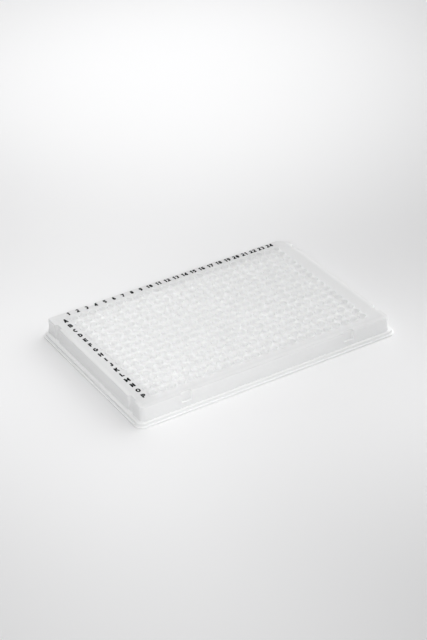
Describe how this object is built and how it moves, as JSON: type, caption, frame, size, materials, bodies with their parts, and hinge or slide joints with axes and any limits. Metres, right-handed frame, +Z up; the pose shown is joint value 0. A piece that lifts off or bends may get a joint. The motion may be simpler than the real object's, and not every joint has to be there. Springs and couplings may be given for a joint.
{
  "type": "well plate",
  "caption": "Low rectangular plastic plate with a full skirt and a grid of small conical wells with raised rims, for holding samples in a laboratory instrument.",
  "frame": {"origin": "middle of the footprint, on the floor: the centre of the well grid, at the underside of the skirt", "axes": "+X along the long side, from column 1 to the last column; +Y from the last row towards row A; +Z up, out of the open mouths of the wells"},
  "size_m": [0.1278, 0.0854, 0.0092],
  "materials": {
    "polypropylene": "natural translucent polypropylene, frosted, soft gloss",
    "black_ink": "pad-printed black ink for the row letters and column numbers"
  },
  "bodies": {
    "root": {"plate": "polypropylene"}
  },
  "joints": []
}
